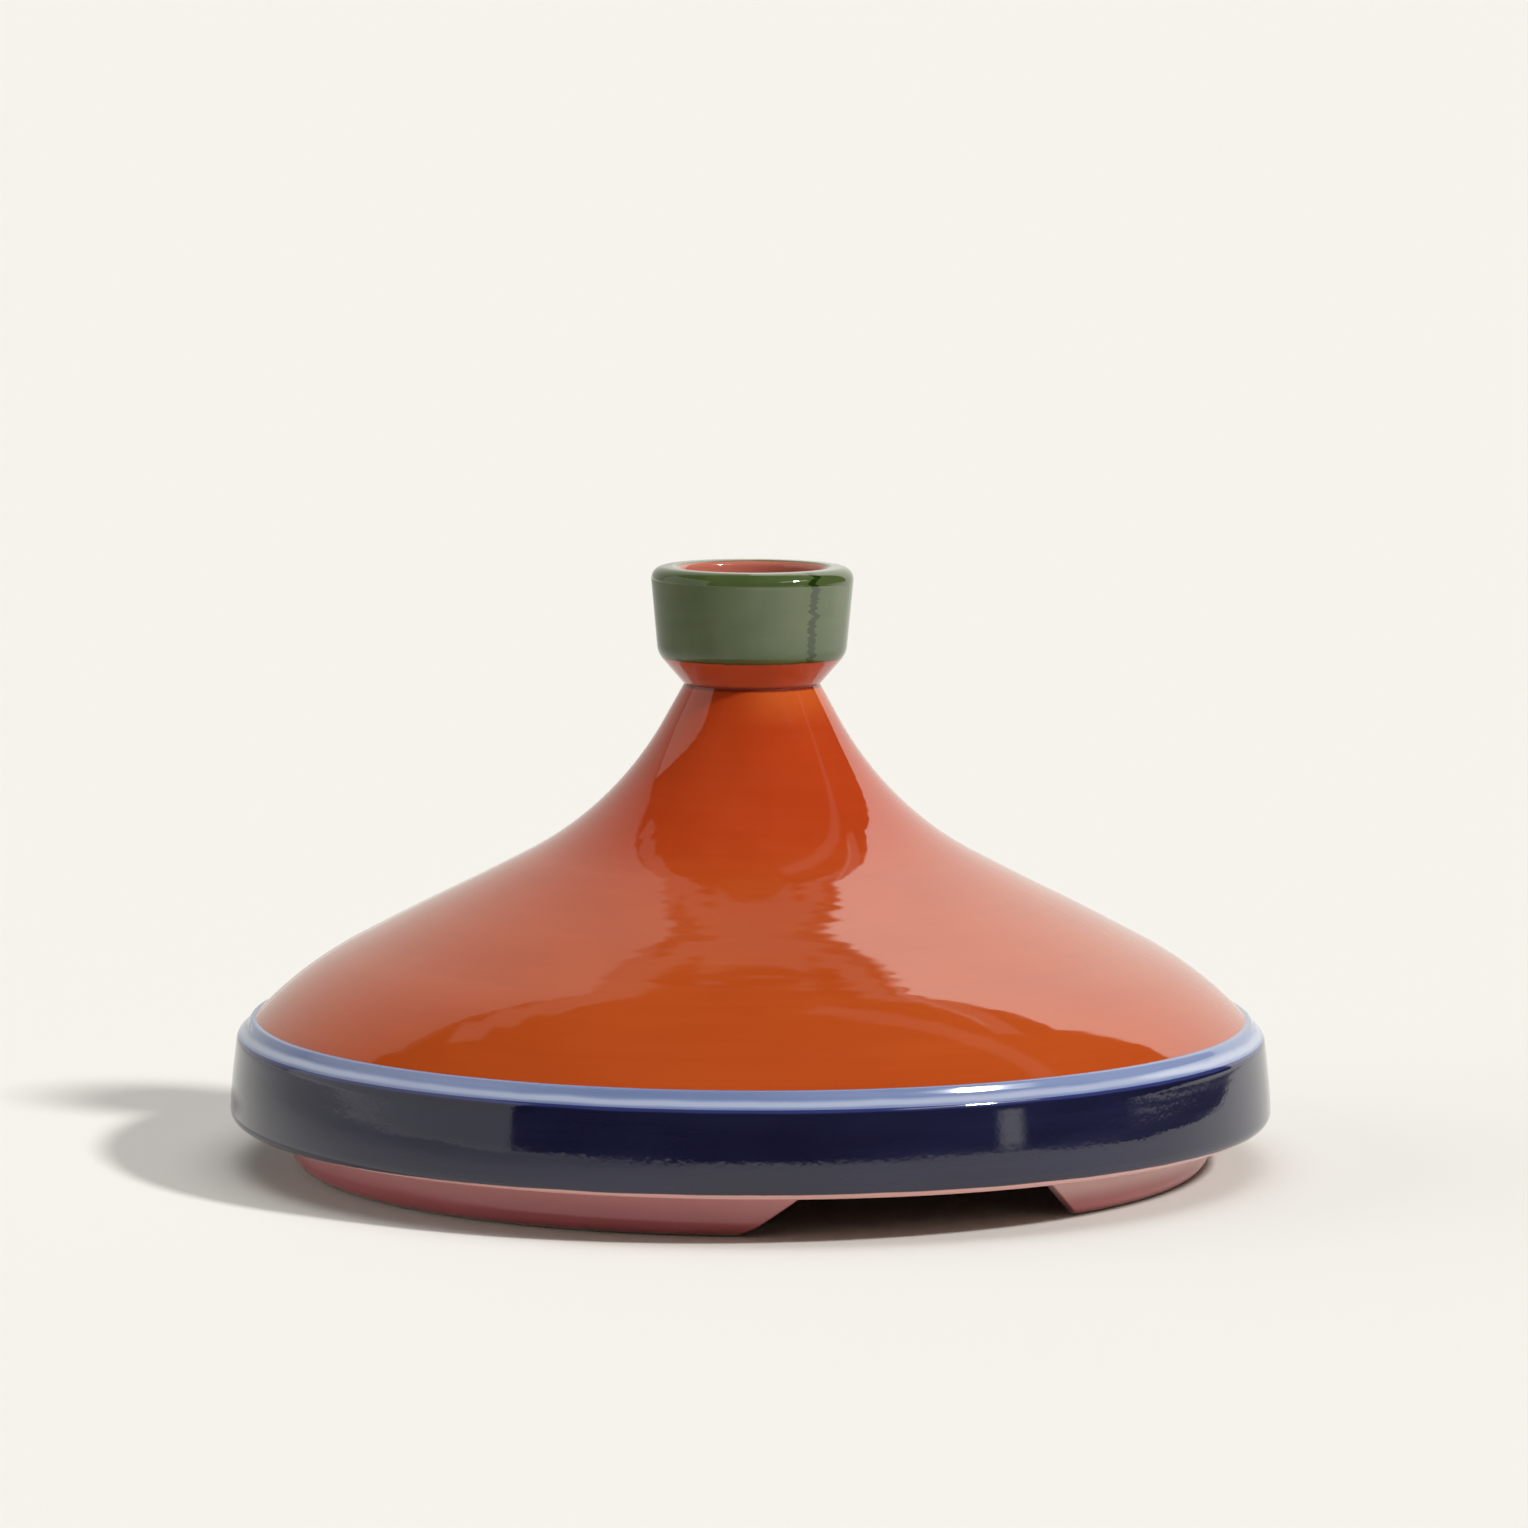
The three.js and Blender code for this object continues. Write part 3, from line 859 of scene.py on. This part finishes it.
def makeBand():
    bm = bmesh.new()
    profileLine(bm, rimOutline(), closed=False)
    trim(bm, bandTopZ, keepBelow=True)
    seatEnd, topEnd = looseEnds(bm)
    joinEnds(bm, topEnd, [(rim["bore"], bandTopZ)], seatEnd)
    turnRound(bm)
    finishPiece(bm, "rimBand", ["rim_band"], ["navy"])


def makeShoulder():
    bm = bmesh.new()
    inner = rim["lipRadius"] + rim["clearance"]
    profileLine(bm, rimOutline(), closed=False)
    trim(bm, bandTopZ, keepBelow=False)
    lowEnd, topEnd = looseEnds(bm)
    joinEnds(bm, topEnd, [(inner, coneFootZ), (inner, bandTopZ)], lowEnd)
    turnRound(bm)
    finishPiece(bm, "shoulderRing", ["shoulder_ring"], ["blue"])


makeBand()
makeShoulder()


# cone: steep skirt, long flank and steep neck, with the wall set off inwards
# the flank swings a little outwards below its middle and inwards above it
cone = {
    "wall": 7, "skirtRun": 11.9, "skirtSlope": 45.9, "skirtRound": 101,
    "flankSlope": 27.5, "flankLow": 36, "flankHigh": 42, "flankSwing": 0.3, "flankRound": 700,
    "neckSlope": 61.1, "neckRound": 93.4, "neckRadius": 18.6, "neckWall": 4.7,
    "easing": 8, "easeTo": 4, "easeShare": 0.5, "glazeUp": 0.1,
}


def slope(degrees):
    return math.tan(math.radians(degrees))


def coneOutline():
    run = cone["skirtRun"]
    footRadius = rim["coneFootRadius"]
    skirtTop = Vector((footRadius - run, coneFootZ + run * slope(cone["skirtSlope"])))
    flankAtAxis = skirtTop.y + skirtTop.x * slope(cone["flankSlope"])
    neckAtAxis = neckZ + cone["neckRadius"] * slope(cone["neckSlope"])
    flankTopRadius = (neckAtAxis - flankAtAxis) / (slope(cone["neckSlope"]) - slope(cone["flankSlope"]))
    flankTop = Vector((flankTopRadius, flankAtAxis - flankTopRadius * slope(cone["flankSlope"])))
    return Vector((footRadius, coneFootZ)), skirtTop, flankTop, Vector((cone["neckRadius"], neckZ))


def setOff(start, end):
    # the inner face of the wall from one corner to the next, as a point and a direction
    along = (end - start).normalized()
    return start + Vector((-along.y, along.x)) * cone["wall"], along


def meeting(first, second):
    gap = second[0] - first[0]
    across = first[1].x * second[1].y - first[1].y * second[1].x
    return first[0] + first[1] * ((gap.x * second[1].y - gap.y * second[1].x) / across)


def outerWall(bm, foot, skirtTop, flankTop, neck):
    along = (flankTop - skirtTop).normalized()
    swung = along + Vector((along.y, -along.x)) * slope(cone["flankSwing"])
    profileLine(bm, [
        (*foot, 0),
        (*skirtTop, cone["skirtRound"]),
        (*(skirtTop + swung * cone["flankLow"]), cone["flankRound"]),
        (*(flankTop - swung * cone["flankHigh"]), cone["flankRound"]),
        (*flankTop, cone["neckRound"]),
        (*neck, 0),
    ], closed=False)
    cutLong(bm)
    # ease the change from arc to straight, as a hand on the wheel leaves it
    easeTop = (neckZ - cone["easeTo"]) * mm
    free = [vert for vert in bm.verts if len(vert.link_edges) == 2 and vert.co.z < easeTop]
    for _ in range(cone["easing"]):
        bmesh.ops.smooth_vert(bm, verts=free, factor=cone["easeShare"], use_axis_x=True, use_axis_z=True)


def innerWall(bm, foot, skirtTop, flankTop, neck):
    skirt = setOff(foot, skirtTop)
    flank = setOff(skirtTop, flankTop)
    throat = setOff(flankTop, neck)
    boreRadius = cone["neckRadius"] - cone["neckWall"]
    boreFoot = meeting(throat, (Vector((boreRadius, 0)), Vector((0, 1))))
    inside = bmesh.new()
    profileLine(inside, [
        (*skirt[0], 0),
        (*meeting(skirt, flank), cone["skirtRound"] - cone["wall"]),
        (*meeting(flank, throat), cone["neckRound"] + cone["wall"]),
        (*boreFoot, 0),
        (boreRadius, neckZ),
    ], closed=False)
    bmesh.ops.bisect_plane(
        inside, geom=list(inside.verts) + list(inside.edges), plane_co=(rim["bore"] * mm, 0, 0),
        plane_no=(1, 0, 0), dist=turning["weld"] * mm, clear_outer=True,
    )
    wallMesh = bpy.data.meshes.new("coneInside")
    inside.to_mesh(wallMesh)
    inside.free()
    bm.from_mesh(wallMesh)
    bpy.data.meshes.remove(wallMesh)


def coneSide(face):
    # orange where a face looks up and outwards, pink inside
    spot = face.calc_center_median()
    radial = Vector((spot.x, spot.y, 0)).normalized()
    return 0 if face.normal.z > cone["glazeUp"] and face.normal.dot(radial) > 0 else 1


def makeCone():
    corners = coneOutline()
    bm = bmesh.new()
    outerWall(bm, *corners)
    innerWall(bm, *corners)
    lip = [(rim["bore"], bandTopZ), (rim["lipRadius"], bandTopZ), (rim["lipRadius"], coneFootZ)]
    ends = [vert for vert in bm.verts if len(vert.link_edges) == 1]
    neckInner, neckOuter, footInner, footOuter = sorted(ends, key=lambda vert: vert.co.x)
    joinEnds(bm, neckInner, [], neckOuter)
    joinEnds(bm, footInner, lip, footOuter)
    turnRound(bm)
    finishPiece(bm, "coneShell", ["cone_shell"], ["orange", "pink"], coneSide)


makeCone()


# knob: collar, cup and the floor of the cup
knob = {
    "flare": 6.6, "spigot": 6, "spigotWall": 3.2, "clearance": 0.3, "footRise": 0.7, "footRound": 6.5,
    "lean": 2.2, "wall": 6, "lipOuter": 3.4, "lipInner": 1.9,
}
cupFootZ = collarTopZ + knob["footRise"]
cupFootRadius = cone["neckRadius"] + knob["flare"] * (cupFootZ - neckZ) / (collarTopZ - neckZ)
wellRadius = cupFootRadius - knob["wall"]


def knobOutline():
    return [
        (cone["neckRadius"], neckZ),
        (cupFootRadius, cupFootZ, knob["footRound"]),
        (cupFootRadius + knob["lean"], crestZ, knob["lipOuter"]),
        (wellRadius, crestZ, knob["lipInner"]),
        (wellRadius, collarTopZ),
    ]


def makeCollar():
    spigotRadius = cone["neckRadius"] - cone["neckWall"] - knob["clearance"]
    bore = spigotRadius - knob["spigotWall"]
    spigotFoot = neckZ - knob["spigot"]
    bm = bmesh.new()
    profileLine(bm, knobOutline()[:-2], closed=False)
    trim(bm, collarTopZ, keepBelow=True)
    neckEnd, topEnd = looseEnds(bm)
    joinEnds(bm, topEnd, [
        (bore, collarTopZ), (bore, spigotFoot), (spigotRadius, spigotFoot), (spigotRadius, neckZ),
    ], neckEnd)
    turnRound(bm)
    finishPiece(bm, "knobCollar", ["knob_collar"], ["orange"])


def makeCup():
    bm = bmesh.new()
    profileLine(bm, knobOutline(), closed=False)
    trim(bm, collarTopZ, keepBelow=False)
    outerEnd, wellEnd = looseEnds(bm)
    joinEnds(bm, outerEnd, [], wellEnd)
    turnRound(bm)
    finishPiece(bm, "knobCup", ["knob_cup"], ["green"])


def makeWellFloor():
    edge = wellRadius - knob["clearance"]
    bm = bmesh.new()
    corners = [(0, collarTopZ), (edge, collarTopZ), (edge, wellFloorZ), (0, wellFloorZ)]
    profileLine(bm, corners, closed=False)
    turnRound(bm)
    finishPiece(bm, "knobFloor", ["knob_floor"], ["salmon"])


makeCollar()
makeCup()
makeWellFloor()
print("pieces in place")
